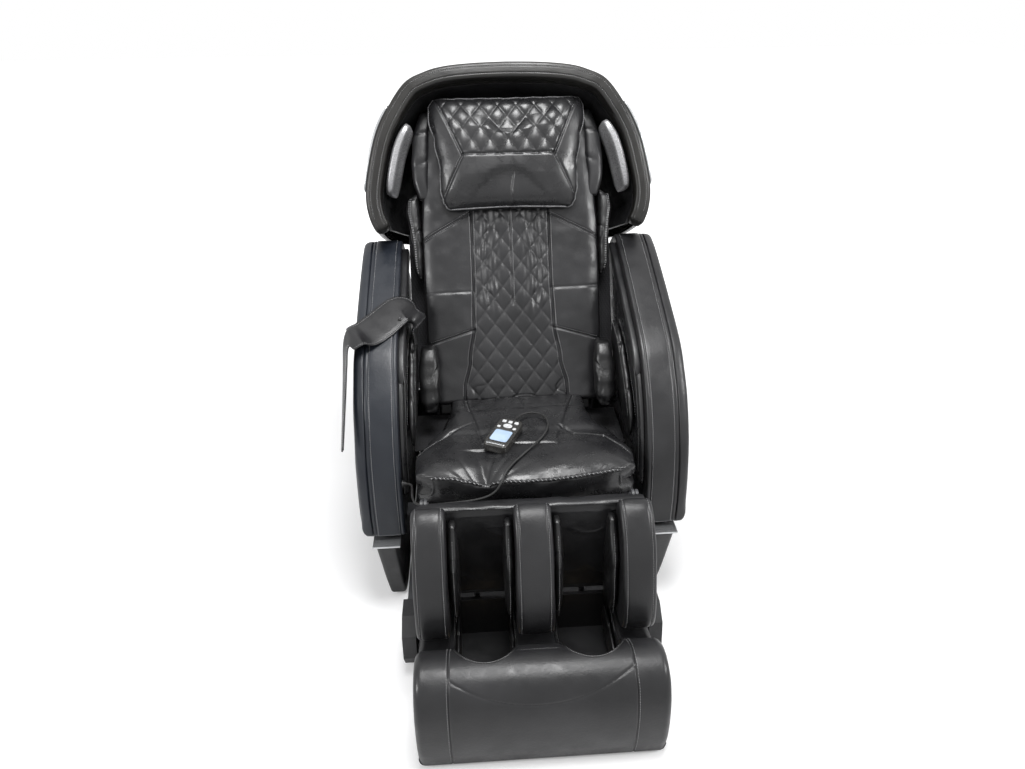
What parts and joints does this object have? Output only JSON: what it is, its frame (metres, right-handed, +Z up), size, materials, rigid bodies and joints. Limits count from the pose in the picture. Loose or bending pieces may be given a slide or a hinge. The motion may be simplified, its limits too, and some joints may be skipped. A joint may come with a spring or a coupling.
{
  "type": "massage chair",
  "caption": "Reclining massage chair with hooded back, head pillow, padded arms, calf and foot unit, side strap and wired handset.",
  "frame": {"origin": "on the floor under the middle of the chair's bounding box", "axes": "+X to the right seen from the front, +Y to the rear, +Z up; the chair faces -Y"},
  "size_m": [0.7761, 1.3199, 1.1486],
  "materials": {
    "steel": "satin",
    "rod": "polished",
    "alloy": "satin",
    "silver": "satin",
    "shell": "semi-gloss",
    "black_plastic": "matt",
    "leather": "grained",
    "fabric": "knitted",
    "rubber": "matt",
    "roller": "satin",
    "screen": "dark",
    "keys": "satin",
    "switch": "gloss"
  },
  "bodies": {
    "base": {"base_frame": "steel", "rubber_feet": "rubber", "rail_nose_covers": "black_plastic", "skirt_left": "black_plastic", "skirt_right": "black_plastic", "skirt_trims": "silver", "rear_cover": "black_plastic", "seat_pan": "steel", "seat_cushion": "leather", "knee_apron": "leather", "control_box": "black_plastic", "air_pump": "alloy", "power_inlet": "black_plastic", "recline_actuator": "alloy", "legrest_actuator": "alloy", "arm_cores": "black_plastic", "arm_strip_left": "leather", "arm_strip_right": "leather", "arm_cover_left": "leather", "arm_cover_right": "leather", "arm_liners": "leather", "forearm_airbags": "fabric", "hip_airbags": "fabric", "arm_strap": "leather", "handset": "shell", "handset_screen": "screen", "handset_cord": "rubber"},
    "back": {"back_frame": "steel", "rear_shell": "shell", "back_pad": "leather", "hood_shell": "shell", "hood_band": "leather", "hood_lining": "fabric", "hood_trims": "silver", "speaker_pods": "silver", "shoulder_airbags": "fabric"},
    "pillow": {"head_pillow": "leather"},
    "carriage": {"massage_carriage": "alloy"},
    "upper_roller_pair": {"upper_rollers": "roller"},
    "lower_roller_pair": {"lower_rollers": "roller"},
    "legrest": {"legrest_frame": "steel", "calf_back": "fabric", "calf_columns": "leather", "calf_airbags": "fabric"},
    "footrest": {"foot_frame": "steel", "foot_shell": "leather", "foot_airbags": "fabric"},
    "sole_left": {"sole_roller_left": "roller"},
    "sole_right": {"sole_roller_right": "roller"},
    "recline_piston": {"recline_rod": "rod"},
    "legrest_piston": {"legrest_rod": "rod"},
    "left_wheel": {"wheel_left": "rubber"},
    "right_wheel": {"wheel_right": "rubber"},
    "rocker": {"rocker_switch": "switch"},
    "button_1": {"key_1": "keys"},
    "button_2": {"key_2": "keys"},
    "button_3": {"key_3": "keys"},
    "button_wheel": {"key_wheel": "keys"},
    "button_left": {"key_left": "keys"},
    "button_right": {"key_right": "keys"}
  },
  "joints": [
    {"name": "back_recline", "type": "hinge", "parent": "base", "child": "back", "pos_m": [0, 0.16, 0.33], "axis": [-1, 0, 0], "range_deg": [0, 43]},
    {"name": "legrest_raise", "type": "hinge", "parent": "base", "child": "legrest", "pos_m": [0, -0.322, 0.38], "axis": [-1, 0, 0], "range_deg": [0, 80]},
    {"name": "footrest_slide", "type": "slide", "parent": "legrest", "child": "footrest", "axis": [0, 0, -1], "range_m": [0, 0.12]},
    {"name": "recline_piston_slide", "type": "slide", "parent": "base", "child": "recline_piston", "axis": [0, -1, 0], "range_m": [0, 0.07928]},
    {"name": "legrest_piston_slide", "type": "slide", "parent": "base", "child": "legrest_piston", "axis": [0, -0.8191, 0.5736], "range_m": [0, 0.19349]},
    {"name": "pillow_flip", "type": "hinge", "parent": "back", "child": "pillow", "pos_m": [0, 0.42131, 1.05583], "axis": [-1, 0, 0], "range_deg": [0, 22]},
    {"name": "carriage_travel", "type": "slide", "parent": "back", "child": "carriage", "axis": [0, 0.4726, 0.8813], "range_m": [-0.19, 0.19]},
    {"name": "upper_roller_spin", "type": "hinge", "parent": "carriage", "child": "upper_roller_pair", "pos_m": [0, 0.33185, 0.70212], "axis": [1, 0, 0], "continuous": true},
    {"name": "lower_roller_spin", "type": "hinge", "parent": "carriage", "child": "lower_roller_pair", "pos_m": [0, 0.26569, 0.57874], "axis": [1, 0, 0], "continuous": true},
    {"name": "sole_left_spin", "type": "hinge", "parent": "footrest", "child": "sole_left", "pos_m": [-0.105, -0.47, 0.034], "axis": [1, 0, 0], "continuous": true},
    {"name": "sole_right_spin", "type": "hinge", "parent": "footrest", "child": "sole_right", "pos_m": [0.105, -0.47, 0.034], "axis": [1, 0, 0], "continuous": true},
    {"name": "left_wheel_spin", "type": "hinge", "parent": "base", "child": "left_wheel", "pos_m": [-0.298, 0.41, 0.044], "axis": [1, 0, 0], "continuous": true},
    {"name": "right_wheel_spin", "type": "hinge", "parent": "base", "child": "right_wheel", "pos_m": [0.298, 0.41, 0.044], "axis": [1, 0, 0], "continuous": true},
    {"name": "rocker_tilt", "type": "hinge", "parent": "base", "child": "rocker", "pos_m": [0.196, 0.412, 0.11], "axis": [1, 0, 0], "range_deg": [-7, 7]},
    {"name": "button_1_press", "type": "slide", "parent": "base", "child": "button_1", "axis": [0, 0, -1], "range_m": [0, 0.001], "stiffness_N_per_m": 300, "springref_m": -0.0005},
    {"name": "button_2_press", "type": "slide", "parent": "base", "child": "button_2", "axis": [0, 0, -1], "range_m": [0, 0.001], "stiffness_N_per_m": 300, "springref_m": -0.0005},
    {"name": "button_3_press", "type": "slide", "parent": "base", "child": "button_3", "axis": [0, 0, -1], "range_m": [0, 0.001], "stiffness_N_per_m": 300, "springref_m": -0.0005},
    {"name": "button_wheel_press", "type": "slide", "parent": "base", "child": "button_wheel", "axis": [0, 0, -1], "range_m": [0, 0.001], "stiffness_N_per_m": 300, "springref_m": -0.0005},
    {"name": "button_left_press", "type": "slide", "parent": "base", "child": "button_left", "axis": [0, 0, -1], "range_m": [0, 0.001], "stiffness_N_per_m": 300, "springref_m": -0.0005},
    {"name": "button_right_press", "type": "slide", "parent": "base", "child": "button_right", "axis": [0, 0, -1], "range_m": [0, 0.001], "stiffness_N_per_m": 300, "springref_m": -0.0005}
  ],
  "couplings": [
    {"joint": "recline_piston_slide", "follows": "back_recline", "m_per_rad": 0.10497},
    {"joint": "legrest_piston_slide", "follows": "legrest_raise", "m_per_rad": 0.13822}
  ]
}
